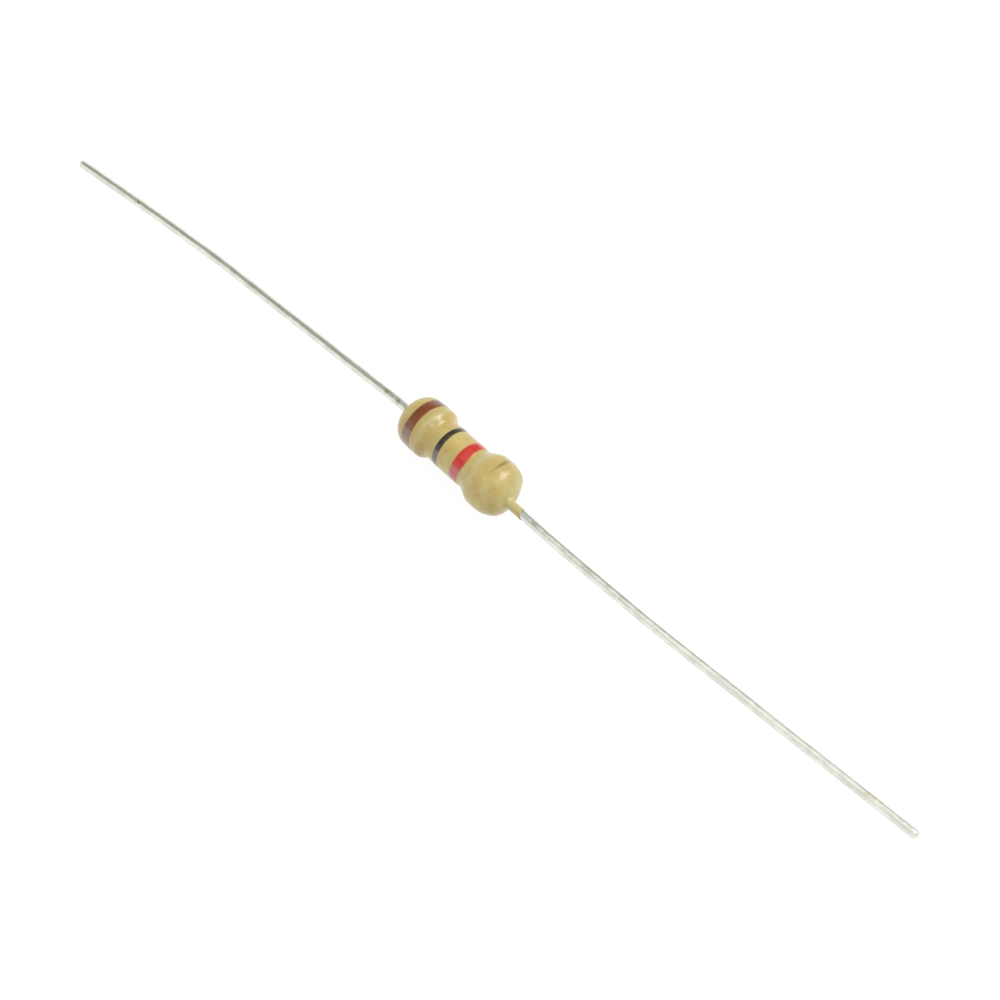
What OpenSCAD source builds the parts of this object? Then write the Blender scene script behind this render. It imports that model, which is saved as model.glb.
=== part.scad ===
// Axial carbon-film resistor, quarter watt, lying on a flat surface.
// Millimetres. X runs along the body from the first band (left) to the tolerance band (right), Z is up.
// The origin is on the surface that the resistor lies on, straight below the middle of its body.
// A ceramic rod carries a carbon film with a helical trim cut. Two pressed caps grip its ends, a wire is
// butt-welded to each, and lacquer covers all of it, thick over the caps and thin at the waist.

/* [Rod and film] */
// Length of the ceramic rod
core_len = 5.74; // [5:0.02:6.4]
// Diameter of the ceramic rod
core_d = 1.6; // [1.3:0.02:1.8]
// Thickness of the carbon film, drawn thicker than the real one so that it can be seen
film_t = 0.03; // [0.02:0.005:0.06]
// Width of the helical cut that trims the film
cut_w = 0.16; // [0.1:0.01:0.26]
// Turns of the helical cut
cut_turns = 3; // [2:0.5:4]
// Uncut film left between each cap and the start of the cut
cut_margin = 0.25; // [0.15:0.01:0.4]

/* [End caps] */
// Length of each cap, from its rim to its outer end face
cap_len = 1.52; // [1.2:0.02:1.7]
// Wall of each cap, at its side and at its end
cap_wall = 0.15; // [0.1:0.01:0.2]
// Outer radius of the drawn corner between the cap's side and its end
cap_corner = 0.42; // [0.36:0.01:0.5]
// Lead-in chamfer inside the cap's rim
cap_lead_in = 0.06; // [0.03:0.01:0.08]

/* [Lacquer] */
// Lacquer over the film at the waist
coat_waist = 0.135; // [0.1:0.005:0.18]
// Lacquer over the left cap, at its rim
coat_left = 0.212; // [0.17:0.002:0.26]
// How much thinner the left cap's lacquer is where its dome begins
coat_left_fall = 0.024; // [0:0.002:0.04]
// Lacquer over the right cap
coat_right = 0.238; // [0.18:0.002:0.28]
// Lacquer over each cap's end face
coat_end = 0.205; // [0.18:0.005:0.3]
// Length of the left dome
dome_left = 0.85; // [0.7:0.01:1.1]
// Length of the right dome
dome_right = 1.14; // [0.9:0.01:1.3]
// Fullness of the left dome, where 2 is an ellipse and more is squarer
dome_left_full = 2.1; // [2:0.05:3]
// Fullness of the right dome
dome_right_full = 2.45; // [2:0.05:3]
// How far outside its cap's rim the left shoulder starts to fall
shoulder_left_at = 0.075; // [0:0.005:0.2]
// Length of the left shoulder
shoulder_left = 0.45; // [0.3:0.01:0.6]
// How far inside its cap's rim the right shoulder has come down to the waist
shoulder_right_at = 0.525; // [0.4:0.005:0.6]
// Length of the right shoulder
shoulder_right = 0.85; // [0.7:0.01:1]
// Depth of the shallow neck beside each shoulder
neck_depth = 0.02; // [0:0.002:0.04]
// Length over which each neck fades into the waist
neck_len = 0.5; // [0.3:0.01:0.6]

/* [Lacquer sleeves on the leads] */
// Length of the left sleeve beyond the body
sleeve_left = 0.18; // [0.17:0.01:0.3]
// Length of the right sleeve beyond the body, at its middle
sleeve_right = 0.86; // [0.4:0.01:1.1]
// Slant of the right sleeve's end, which reaches farthest on the lower front of the wire
sleeve_slant = 22; // [0:1:30]
// Thickness of the lacquer on a lead
sleeve_t = 0.022; // [0.012:0.002:0.04]
// Radius of the meniscus where it leaves the dome
meniscus_r = 0.5; // [0.4:0.01:0.52]
// Length over which the left meniscus thins to its sleeve
meniscus_left_len = 0.24; // [0.2:0.01:0.25]
// Length over which the right meniscus thins to its sleeve
meniscus_right_len = 0.4; // [0.3:0.01:0.42]

/* [Colour bands] */
// Thickness of the paint
band_t = 0.025; // [0.015:0.005:0.04]
// Start of the brown band, from the left end of the body
brown_at = 0.83; // [0.7:0.01:0.95]
// Width of the brown band
brown_w = 0.52; // [0.3:0.01:0.55]
// Start of the black band, from the left end of the body
black_at = 2.57; // [2.4:0.01:2.8]
// Width of the black band
black_w = 0.24; // [0.2:0.01:0.5]
// Start of the red band, from the left end of the body
red_at = 3.65; // [3.5:0.01:3.8]
// Width of the red band
red_w = 0.52; // [0.3:0.01:0.6]
// Outer edge of the gold band, from the right end of the body
gold_in = 0.87; // [0.8:0.01:1]
// Width of the gold band
gold_w = 0.52; // [0.25:0.01:0.56]

/* [Leads] */
// Diameter of the tinned wire
lead_d = 0.38; // [0.34:0.01:0.5]
// Diameter of the weld where the wire meets the cap
weld_d = 0.54; // [0.5:0.01:0.6]
// Height of the weld
weld_h = 0.12; // [0.05:0.01:0.15]
// Rounding of the cut end
tip_round = 0.1; // [0.04:0.01:0.16]
// Length of the short bend where a lead turns away from the body's axis
kink_len = 0.7; // [0.5:0.05:1]
// Height of a lead's end above the surface that the body lies on
tip_lift = 0.03; // [0:0.01:0.1]

/* [Left lead] */
// Length of the wire, from the cap to its cut end
left_len = 22.95; // [21:0.05:28]
// Straight stub before the first bend
left_stub = 0.6; // [0.58:0.01:1]
// Turn of the first bend, in degrees
left_kink_angle = 3.2; // [1:0.1:6]
// Straight run between the first bend and the bow
left_run = 9.8; // [6:0.1:12]
// Length of the bow
left_bow_len = 6.5; // [4:0.1:7]
// Turn of the bow, in degrees
left_bow_angle = 2.6; // [1:0.1:6]

/* [Right lead] */
// Length of the wire, from the cap to its cut end
right_len = 21.9; // [20:0.05:28]
// How far the wire is welded off the cap's centre, across the resistor
right_off_y = -0.08; // [-0.12:0.01:0]
// How far the wire is welded below the cap's centre
right_off_z = -0.04; // [-0.1:0.01:0]
// Straight stub before the first bend
right_stub = 1.95; // [1.5:0.05:3]
// Turn of the first bend, in degrees
right_kink_angle = 2.3; // [1:0.1:6]
// Straight run between the first bend and the bow
right_run = 2.8; // [2:0.1:5]
// Length of the bow
right_bow_len = 5.4; // [4:0.1:9]
// Turn of the bow, in degrees
right_bow_angle = 4.3; // [1:0.1:6]

/* [Hidden] */

$fn = 96;
core_r = core_d / 2;
film_r = core_r + film_t;
lead_r = lead_d / 2;

// The cap's bore fits the film, and its drawn corner seats the rod's chamfer
cap_r = film_r + cap_wall;
cap_in_corner = cap_corner - cap_wall;
core_chamfer = cap_in_corner - film_t;
film_half = core_len / 2 - cap_in_corner;
cap_end_x = core_len / 2 + cap_wall;
rim_x = cap_end_x - cap_len;

// The lacquer's outline, as radii and as places along X
waist_r = film_r + coat_waist;
neck_r = waist_r - neck_depth;
rim_left_r = cap_r + coat_left;
crown_left_r = rim_left_r - coat_left_fall;
crown_right_r = cap_r + coat_right;
end_x = cap_end_x + coat_end;
dome_left_x = -end_x + dome_left;
fall_left_x = -rim_x - shoulder_left_at;
neck_left_x = fall_left_x + shoulder_left;
waist_left_x = neck_left_x + neck_len;
neck_right_x = rim_x - shoulder_right_at;
waist_right_x = neck_right_x - neck_len;
rise_right_x = neck_right_x + shoulder_right;
dome_right_x = end_x - dome_right;
axis_h = max(crown_right_r, rim_left_r) + band_t;

// The helical cut runs between the caps, with the same margin at both
cut_span = 2 * (rim_x - cut_margin);
cut_sides = 24;
cut_over = 0.05;

// A bend is drawn this much thinner than the straight wire, and reaches this far into it at both ends, so that
// the pieces of a lead join as one
bend_thin = 0.002;
bend_lap = 0.05;

// Side of the wire on which a slanted sleeve ends first, as an angle from straight below over the back
slant_side = 140;

// Steps along each curved stretch of an outline
dome_steps = 12;
blend_steps = 8;
meniscus_steps = 8;

// A smooth rise from a to b as u goes from 0 to 1
function ease(a, b, u) = a + (b - a) * (1 - cos(180 * u)) / 2;
// How far along the stretch from a to b the place x lies
function part_of(x, a, b) = (x - a) / (b - a);
// Radius of a dome of crown radius r at the share u of its length
function dome_r(r, u, full) = r * pow(max(0, 1 - pow(u, full)), 1 / full);
// Radius of the lacquer at x
function body_r(x) =
    x < dome_left_x ? dome_r(crown_left_r, (dome_left_x - x) / dome_left, dome_left_full) :
    x < fall_left_x ? crown_left_r + coat_left_fall * part_of(x, dome_left_x, fall_left_x) :
    x < neck_left_x ? ease(rim_left_r, neck_r, part_of(x, fall_left_x, neck_left_x)) :
    x < waist_left_x ? ease(neck_r, waist_r, part_of(x, neck_left_x, waist_left_x)) :
    x < waist_right_x ? waist_r :
    x < neck_right_x ? ease(waist_r, neck_r, part_of(x, waist_right_x, neck_right_x)) :
    x < rise_right_x ? ease(neck_r, crown_right_r, part_of(x, neck_right_x, rise_right_x)) :
    x < dome_right_x ? crown_right_r :
    dome_r(crown_right_r, (x - dome_right_x) / dome_right, dome_right_full);
// Equal steps from a to b, without b itself
function steps(a, b, n) = [for (i = [0 : n - 1]) a + (b - a) * i / n];

// Straight wire left after both bends
left_end_run = left_len - left_stub - kink_len - left_run - left_bow_len;
right_end_run = right_len - right_stub - kink_len - right_run - right_bow_len;

// Radius of a bend of a given length and turn
function arc_r(len, turn) = len * 180 / (PI * turn);
// How far aside of the body's axis a lead's end lies after its two bends
function tip_aside(kink, run, bow_len, bow, end_run) =
    arc_r(kink_len, kink) * (1 - cos(kink)) + run * sin(kink)
    + arc_r(bow_len, bow) * (cos(kink) - cos(kink + bow)) + end_run * sin(kink + bow);
// Slope of a lead's bend plane that brings its end down to tip_lift above the surface
function plane_dip(aside, off_z) = asin(min(1, (axis_h + off_z - lead_r - tip_lift) / aside));

left_aside = tip_aside(left_kink_angle, left_run, left_bow_len, left_bow_angle, left_end_run);
right_aside = tip_aside(right_kink_angle, right_run, right_bow_len, right_bow_angle, right_end_run);
left_plane = 180 + plane_dip(left_aside, 0);
right_plane = -plane_dip(right_aside, right_off_z);

// Turns what is drawn along Z to lie along the body's axis
module on_axis() {
    translate([0, 0, axis_h]) rotate([0, 90, 0]) children();
}

// Turns what is drawn towards +X to the left end
module at_left() {
    mirror([1, 0, 0]) children();
}

module ceramic_core() {
    color("whitesmoke")
    on_axis() {
        translate([0, 0, -core_len / 2]) cylinder(h = core_chamfer, r1 = core_r - core_chamfer, r2 = core_r);
        translate([0, 0, -core_len / 2 + core_chamfer]) cylinder(h = core_len - 2 * core_chamfer, r = core_r);
        translate([0, 0, core_len / 2 - core_chamfer])
            cylinder(h = core_chamfer, r1 = core_r, r2 = core_r - core_chamfer);
    }
}

// One corner of the cut's section: the helix turns steadily as it moves along the rod
function cut_corner(i, r, side) =
    let (turn = i * 360 / cut_sides)
    [r * cos(turn), r * sin(turn), cut_span * (i / (cut_sides * cut_turns) - 0.5) + side * cut_w / 2];

module helical_cut() {
    rings = cut_sides * cut_turns;
    inner = core_r - cut_over;
    outer = film_r + cut_over;
    points = [for (i = [0 : rings]) each
        [cut_corner(i, inner, -1), cut_corner(i, outer, -1), cut_corner(i, outer, 1), cut_corner(i, inner, 1)]];
    sides = [for (i = [0 : rings - 1]) for (k = [0 : 3])
        [4 * i + k, 4 * i + (k + 1) % 4, 4 * i + 4 + (k + 1) % 4, 4 * i + 4 + k]];
    last = 4 * rings;
    polyhedron(points, concat([[3, 2, 1, 0]], sides, [[last, last + 1, last + 2, last + 3]]));
}

module carbon_film() {
    color("dimgray")
    on_axis()
    difference() {
        translate([0, 0, -film_half]) cylinder(h = 2 * film_half, r = film_r);
        translate([0, 0, -film_half - cut_over]) cylinder(h = 2 * (film_half + cut_over), r = core_r);
        helical_cut();
    }
}

// Section of a cup with a round corner, from the rim's plane to the end
module cup_section(r, len, corner) {
    square([r - corner, len]);
    square([r, len - corner]);
    translate([r - corner, len - corner]) circle(corner);
}

// Outer form of the right cap
module cap_form() {
    translate([0, 0, rim_x])
    rotate_extrude()
    intersection() {
        cup_section(cap_r, cap_len, cap_corner);
        square([cap_r, cap_len]);
    }
}

module cap() {
    on_axis()
    difference() {
        cap_form();
        translate([0, 0, rim_x])
        rotate_extrude()
        intersection() {
            cup_section(film_r, cap_len - cap_wall, cap_in_corner);
            square([film_r, cap_len - cap_wall]);
        }
        translate([0, 0, rim_x]) cylinder(h = cap_lead_in, r1 = film_r + cap_lead_in, r2 = film_r);
    }
}

module end_cap_right() {
    color("silver") cap();
}

module end_cap_left() {
    color("silver") at_left() cap();
}

// Weld and stub, the part of a lead that the lacquer can reach
module lead_foot(stub) {
    rotate([0, 90, 0]) {
        cylinder(h = weld_h, r1 = weld_d / 2, r2 = lead_r);
        cylinder(h = stub, r = lead_r);
    }
}

// Bend that starts along +X at the origin and turns towards +Y
module wire_bend(len, turn) {
    r = arc_r(len, turn);
    lap = turn * bend_lap / len;
    translate([0, r, 0])
    rotate([0, 0, -90 - lap])
    rotate_extrude(angle = turn + 2 * lap, $fn = 2880)
    translate([r, 0])
    circle(lead_r - bend_thin, $fn = 48);
}

// Goes to the end of such a bend
module after_bend(len, turn) {
    r = arc_r(len, turn);
    translate([r * sin(turn), r * (1 - cos(turn)), 0]) rotate([0, 0, turn]) children();
}

// Straight wire with a rounded end, towards +X
module wire_end(len) {
    rotate([0, 90, 0]) {
        cylinder(h = len - tip_round, r = lead_r, $fn = 48);
        translate([0, 0, len - 2 * tip_round])
        rotate_extrude($fn = 48)
        intersection() {
            cup_section(lead_r, 2 * tip_round, tip_round);
            square([lead_r, 2 * tip_round]);
        }
    }
}

// The wire of a lead towards +X, in the plane that its bends share
module wire(stub, kink, run, bow_len, bow, end_run) {
    lead_foot(stub);
    translate([stub, 0, 0]) {
        wire_bend(kink_len, kink);
        after_bend(kink_len, kink) {
            rotate([0, 90, 0]) cylinder(h = run, r = lead_r, $fn = 48);
            translate([run, 0, 0]) {
                wire_bend(bow_len, bow);
                after_bend(bow_len, bow) wire_end(end_run);
            }
        }
    }
}

module lead_left() {
    color("lightgray")
    at_left()
    translate([cap_end_x, 0, axis_h])
    rotate([left_plane, 0, 0])
    wire(left_stub, left_kink_angle, left_run, left_bow_len, left_bow_angle, left_end_run);
}

module lead_right() {
    color("lightgray")
    translate([cap_end_x, right_off_y, axis_h + right_off_z])
    rotate([right_plane, 0, 0])
    wire(right_stub, right_kink_angle, right_run, right_bow_len, right_bow_angle, right_end_run);
}

// Places along the body at which its outline has a point. The last step of each dome is left out: the outline
// ends there in a small flat, which the wire and its meniscus cover
outline_x = concat(
    [for (i = [1 : dome_steps]) dome_left_x - dome_left * cos(90 * i / dome_steps)],
    steps(fall_left_x, neck_left_x, blend_steps),
    steps(neck_left_x, waist_left_x, blend_steps / 2),
    [waist_left_x],
    steps(waist_right_x, neck_right_x, blend_steps / 2),
    steps(neck_right_x, rise_right_x, blend_steps),
    [rise_right_x],
    [for (i = [0 : dome_steps - 1]) dome_right_x + dome_right * sin(90 * i / dome_steps)]);

// The body as it looks from outside
module body_form() {
    outline = [for (x = outline_x) [body_r(x), x]];
    on_axis()
    rotate_extrude()
    polygon(concat([[0, outline_x[0]]], outline, [[0, outline_x[len(outline_x) - 1]]]));
}

// Lacquer that climbs a lead, from inside the dome to the end of the sleeve, which may be slanted
module sleeve_form(len, meniscus_len, slant = 0) {
    start = end_x - meniscus_len / 3;
    tube_r = lead_r + sleeve_t;
    uncut = end_x + len + tube_r;
    curve = [for (i = [0 : meniscus_steps]) let (u = i / meniscus_steps)
        [tube_r + (meniscus_r - tube_r) * pow(1 - u, 3), start + meniscus_len * u]];
    on_axis()
    difference() {
        rotate_extrude()
        polygon(concat([[0, start]], curve, [[tube_r, uncut], [0, uncut]]));
        translate([0, 0, end_x + len])
        rotate([0, 0, slant_side])
        rotate([0, slant, 0])
        cylinder(h = 4 * tube_r, r = 4 * tube_r);
    }
}

module coating() {
    color([0.82, 0.71, 0.47])
    difference() {
        union() {
            body_form();
            translate([0, right_off_y, right_off_z]) sleeve_form(sleeve_right, meniscus_right_len, sleeve_slant);
            at_left() sleeve_form(sleeve_left, meniscus_left_len);
        }
        on_axis() translate([0, 0, -rim_x]) cylinder(h = 2 * rim_x, r = film_r);
        on_axis() cap_form();
        at_left() on_axis() cap_form();
        translate([cap_end_x, right_off_y, axis_h + right_off_z]) lead_foot(right_stub);
        at_left() translate([cap_end_x, 0, axis_h]) lead_foot(left_stub);
    }
}

// Ring of paint on the lacquer, drawn as deep into it as it stands out and cut off at its surface
module band(first, width) {
    places = concat(steps(first, first + width, blend_steps), [first + width]);
    paint = [for (x = places) [body_r(x) + band_t, x]];
    sunk = [for (i = [len(places) - 1 : -1 : 0]) [body_r(places[i]) - band_t, places[i]]];
    difference() {
        on_axis() rotate_extrude() polygon(concat(paint, sunk));
        body_form();
    }
}

module band_brown() {
    color([0.47, 0.25, 0.16]) band(-end_x + brown_at, brown_w);
}

module band_black() {
    color([0.16, 0.14, 0.12]) band(-end_x + black_at, black_w);
}

module band_red() {
    color([0.82, 0.2, 0.16]) band(-end_x + red_at, red_w);
}

module band_gold() {
    color([0.72, 0.6, 0.34]) band(end_x - gold_in - gold_w, gold_w);
}

ceramic_core();
carbon_film();
end_cap_left();
end_cap_right();
lead_left();
lead_right();
coating();
band_brown();
band_black();
band_red();
band_gold();
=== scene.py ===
# %% [markdown]
# # An axial resistor on a white sheet
#
# The object is a quarter-watt resistor: a small lacquered body with four painted bands and a long tinned wire at
# each end. Its construction comes as a fixed frame of solids, one for each real piece. This lesson keeps the
# solids that are sealed inside, builds finer skins for the lacquer, the paint and the wires, and gives every piece
# a finish made of nodes. Places are in metres in the frame's axes: X runs along the body, Z is up, and the sheet
# that the resistor lies on is at zero.

# %% Load the frame
import math

import bmesh
import bpy
from mathutils import Matrix, Vector, noise


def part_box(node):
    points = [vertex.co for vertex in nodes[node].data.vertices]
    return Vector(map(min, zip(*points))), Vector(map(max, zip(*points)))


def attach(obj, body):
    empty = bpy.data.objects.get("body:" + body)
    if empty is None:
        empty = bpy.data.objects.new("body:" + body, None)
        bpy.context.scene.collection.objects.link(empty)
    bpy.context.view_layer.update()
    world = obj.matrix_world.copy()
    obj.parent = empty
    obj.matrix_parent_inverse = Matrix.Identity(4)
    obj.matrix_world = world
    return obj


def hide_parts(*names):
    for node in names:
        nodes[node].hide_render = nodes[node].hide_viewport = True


MM = 0.001  # metres in a millimetre

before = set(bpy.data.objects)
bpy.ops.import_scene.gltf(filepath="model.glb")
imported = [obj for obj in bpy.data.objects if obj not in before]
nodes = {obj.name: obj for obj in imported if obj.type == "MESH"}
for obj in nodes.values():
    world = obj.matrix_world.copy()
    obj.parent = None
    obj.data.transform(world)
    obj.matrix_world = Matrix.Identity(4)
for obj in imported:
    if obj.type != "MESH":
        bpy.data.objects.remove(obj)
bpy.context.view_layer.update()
print("nodes:", sorted(nodes))

# %% [markdown]
# ## Sizes from the frame
#
# The caps tell where the body's axis runs and how long the metal core is. Reading them from the frame, and not
# writing them down again, keeps the skins on their core when a size changes.

# %% Read the core's sizes
cap_low, cap_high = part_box("end_cap_right")
AXIS_Z = (cap_low.z + cap_high.z) / 2
CAP_R = (cap_high.z - cap_low.z) / 2 / MM
CAP_END = cap_high.x / MM
CAP_RIM = cap_low.x / MM
film_low, film_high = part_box("carbon_film")
FILM_R = (film_high.z - film_low.z) / 2 / MM
WIRE_R = 0.19  # millimetres; the kinks make a lead's box wider than its wire
print(f"axis {AXIS_Z / MM:.3f} mm up, caps from {CAP_RIM:.2f} to {CAP_END:.2f} mm, radius {CAP_R:.2f} mm")

# %% [markdown]
# ## Camera
#
# The photograph was taken from close by, from above and off the right end, so the near wire looks thicker than
# the far one. A camera has three things to match: the direction it looks in, how far away it stands, and how long
# its lens is. The body's middle isn't in the middle of the picture. The camera is moved sideways for that, which
# keeps the perspective right without a lens shift.

# %% Place the camera
PICTURE = 1000  # pixels across the photograph
CAMERA_ELEVATION = math.radians(51.9)
CAMERA_TURN = math.radians(41.3)  # from the body's right end towards its front
CAMERA_DISTANCE = 100 * MM
FOCAL_PIXELS = 2380
SENSOR = 36  # millimetres
AIM = Vector((-0.075 * MM, 0, AXIS_Z))  # the place on the axis that was matched
AIM_PIXEL = (458.1, 454.6)  # where the photograph shows it

to_camera = Vector((
    math.cos(CAMERA_ELEVATION) * math.cos(CAMERA_TURN),
    -math.cos(CAMERA_ELEVATION) * math.sin(CAMERA_TURN),
    math.sin(CAMERA_ELEVATION),
))
camera_turn = to_camera.to_track_quat("Z", "Y")
metres_per_pixel = CAMERA_DISTANCE / FOCAL_PIXELS
aside = camera_turn @ Vector((PICTURE / 2 - AIM_PIXEL[0], AIM_PIXEL[1] - PICTURE / 2, 0)) * metres_per_pixel

lens = bpy.data.cameras.new("camera")
lens.sensor_width = SENSOR
lens.lens = SENSOR * FOCAL_PIXELS / PICTURE
lens.clip_start = 1 * MM
lens.clip_end = 10
camera = bpy.data.objects.new("camera", lens)
bpy.context.scene.collection.objects.link(camera)
camera.location = AIM + to_camera * CAMERA_DISTANCE + aside
camera.rotation_mode = "QUATERNION"
camera.rotation_quaternion = camera_turn
bpy.context.scene.camera = camera
bpy.context.scene.view_settings.view_transform = "Standard"
print(f"lens {lens.lens:.1f} mm, camera at {[round(c / MM, 1) for c in camera.location]} mm")

# %% [markdown]
# ## Node helpers
#
# Every finish below is a tree of shader nodes. A few short helpers keep the trees readable. One adds a node and
# fills its inputs, with a plain value or with a link from another node. Others use it to make a mask, blend two
# colours or vary a value. The last makes a material with its Principled shader ready to be filled in the same way.

# %% Helpers for shader nodes
def fill_inputs(tree, made, inputs):
    """Sets each named input of a node, or links it if the value is another node's output."""
    for name, value in inputs.items():
        if isinstance(value, bpy.types.NodeSocket):
            tree.links.new(value, made.inputs[name])
        else:
            made.inputs[name].default_value = value


def add(tree, kind, inputs=None, **settings):
    """Adds a shader node, such as TexNoise, and returns it."""
    made = tree.nodes.new("ShaderNode" + kind)
    for name, value in settings.items():
        setattr(made, name, value)
    fill_inputs(tree, made, inputs or {})
    return made


def between(tree, value, low, high):
    """A mask that rises smoothly from 0 where the value is low to 1 where it is high."""
    limits = {"Value": value, "From Min": low, "From Max": high}
    return add(tree, "MapRange", limits, interpolation_type="SMOOTHSTEP").outputs["Result"]


def blend(tree, mask, first, second):
    """The first colour where the mask is 0 and the second where it is 1."""
    mix = add(tree, "Mix", data_type="RGBA")
    fill_inputs(tree, mix, {0: mask, 6: first, 7: second})
    return mix.outputs[2]


def math_of(tree, operation, *values):
    """The result of a Math node."""
    return add(tree, "Math", dict(enumerate(values)), operation=operation).outputs[0]


def vary(tree, mask, base, spread):
    """A value that is the base where the mask is 0, and the base plus the spread where it is 1."""
    return math_of(tree, "ADD", math_of(tree, "MULTIPLY", mask, spread), base)


def new_material(name):
    """A material, its node tree and its Principled shader."""
    material = bpy.data.materials.new(name)
    material.use_nodes = True
    tree = material.node_tree
    return material, tree, tree.nodes["Principled BSDF"]


# %% [markdown]
# ## Floor
#
# The photograph's ground is a sheet of white paper, so bright that hardly a shadow is left on it. The floor keeps
# its plain paper colour for the light that it throws back up at the object. Only for what looks at it directly,
# the camera and the mirror-like wires, most of it is replaced by an even white, which leaves the shadow as a tint.

# %% Lay the paper
PAPER_SIDE = 1.2  # metres
PAPER_COLOUR = (0.82, 0.82, 0.82, 1)
WHITE = (1, 1, 1, 1)
EVEN_STRENGTH = 1.06  # strength of the even white
EVEN_SHARE = 0.9  # how much of the seen paper is even white
PAPER_DROP = 0.004 * MM  # just under the object's lowest points

bm = bmesh.new()
under = Matrix.Translation((0, 0, -PAPER_DROP))
bmesh.ops.create_grid(bm, x_segments=1, y_segments=1, size=PAPER_SIDE / 2, matrix=under)
paper_mesh = bpy.data.meshes.new("paper")
bm.to_mesh(paper_mesh)
bm.free()
paper = bpy.data.objects.new("paper", paper_mesh)
bpy.context.scene.collection.objects.link(paper)

paper_finish, tree, shader = new_material("paper")
fill_inputs(tree, shader, {"Base Color": PAPER_COLOUR, "Roughness": 0.9, "Specular IOR Level": 0.1})
path = add(tree, "LightPath").outputs
seen = math_of(tree, "MAXIMUM", path["Is Camera Ray"], path["Is Glossy Ray"])
seen = math_of(tree, "MAXIMUM", seen, path["Is Transmission Ray"])
even = add(tree, "Emission", {"Color": WHITE, "Strength": EVEN_STRENGTH})
share = math_of(tree, "MULTIPLY", seen, EVEN_SHARE)
mixed = add(tree, "MixShader", {0: share, 1: shader.outputs[0], 2: even.outputs[0]})
tree.links.new(mixed.outputs[0], tree.nodes["Material Output"].inputs["Surface"])
paper_mesh.materials.append(paper_finish)
print("paper:", PAPER_SIDE, "m square")

# %% [markdown]
# ## Light
#
# The soft highlights on the bulges say where the lamps stood: the mirror direction at each highlight points at a
# lamp. One is behind the object on the right, one in front on the left, and both are about 50 degrees up. An even
# grey room lights the rest.
#
# The wires are mirrors, and they show what stood round the table. The left wire has a dark stripe along its top,
# and the right wire has a pale one. So the room was bright overhead and towards the right end, and dark past the
# left end. Low down it was bright in front, and on the left too. The world gives its glossy rays that pattern, by
# their direction, and its diffuse rays the even grey. Only the camera sees a white room, past the paper's edge.

# %% Set up the room
ROOM_GREY = (0.42, 0.42, 0.40, 1)
DARK_SIDE = (0.40, 0.42, 0.375, 1)
BRIGHT_SIDE = (1.08, 1.09, 1.05, 1)
BRIGHT_PARTS = (  # (how bright the part is, and on each axis where it starts and where it is full)
    (1.0, {"X": (-0.52, -0.34), "Z": (0.68, 0.80)}),  # overhead
    (1.0, {"Y": (0.1, -0.1), "Z": (0.66, 0.38)}),  # low down in front
    (1.0, {"X": (-0.44, -0.54), "Z": (0.66, 0.20)}),  # low down past the left end
    (0.6, {"X": (-0.42, -0.24)}),  # everything further to the right
)

world = bpy.data.worlds.new("room")
bpy.context.scene.world = world
world.use_nodes = True
tree = world.node_tree
direction = add(tree, "SeparateXYZ", {"Vector": add(tree, "TexCoord").outputs["Generated"]}).outputs
bright = 0.0
for part, limits in BRIGHT_PARTS:
    for axis, (start, full) in limits.items():
        part = math_of(tree, "MULTIPLY", part, between(tree, direction[axis], start, full))
    bright = math_of(tree, "MAXIMUM", bright, part)
mirrored = blend(tree, bright, DARK_SIDE, BRIGHT_SIDE)
path = add(tree, "LightPath").outputs
room = tree.nodes["Background"]
tree.links.new(blend(tree, path["Is Glossy Ray"], ROOM_GREY, mirrored), room.inputs["Color"])
white = add(tree, "Background", {"Color": WHITE, "Strength": 1.0})
mixed = add(tree, "MixShader", {0: path["Is Camera Ray"], 1: room.outputs[0], 2: white.outputs[0]})
tree.links.new(mixed.outputs[0], tree.nodes["World Output"].inputs["Surface"])
print("room:", ROOM_GREY[:3], "and in mirrors from", DARK_SIDE[:3], "to", BRIGHT_SIDE[:3])

# %% Place the lamps
LAMP_DISTANCE = 0.35  # metres


def soft_lamp(name, azimuth, elevation, side, watts):
    """A square lamp that looks at the object. Azimuth 0 is along +X and 90 along +Y, in degrees."""
    flat = math.cos(math.radians(elevation))
    away = Vector((
        flat * math.cos(math.radians(azimuth)),
        flat * math.sin(math.radians(azimuth)),
        math.sin(math.radians(elevation)),
    ))
    light = bpy.data.lights.new(name, "AREA")
    light.size = side
    light.energy = watts
    lamp = bpy.data.objects.new(name, light)
    lamp.location = away * LAMP_DISTANCE
    lamp.rotation_mode = "QUATERNION"
    lamp.rotation_quaternion = away.to_track_quat("Z", "Y")
    bpy.context.scene.collection.objects.link(lamp)
    return lamp


soft_lamp("lamp_behind", azimuth=55, elevation=48, side=0.2, watts=0.68)
front = soft_lamp("lamp_front", azimuth=-131, elevation=55, side=0.17, watts=0.30)
front.visible_glossy = False  # the wires and the paint mirror the room's bright ceiling there, and no lamp

# %% [markdown]
# ## Shared shader groups
#
# Several finishes need the same few effects: soft blotches of colour and a fine relief. Each effect is a node
# group with named inputs, built once and placed in each material with its own values, in millimetres. One more
# group turns the Object coordinates into such places, so that a pattern runs on from the lacquer to the paint that
# lies on it.

# %% Build the groups
def new_group(name, inputs, outputs):
    """A node group with float and vector inputs, each with its default, and named outputs."""
    group = bpy.data.node_groups.new(name, "ShaderNodeTree")
    for socket, default in inputs.items():
        kind = "NodeSocketVector" if isinstance(default, tuple) else "NodeSocketFloat"
        made = group.interface.new_socket(name=socket, in_out="INPUT", socket_type=kind)
        made.default_value = default
    for socket, kind in outputs.items():
        group.interface.new_socket(name=socket, in_out="OUTPUT", socket_type=kind)
    return group, group.nodes.new("NodeGroupInput").outputs, group.nodes.new("NodeGroupOutput")


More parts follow.
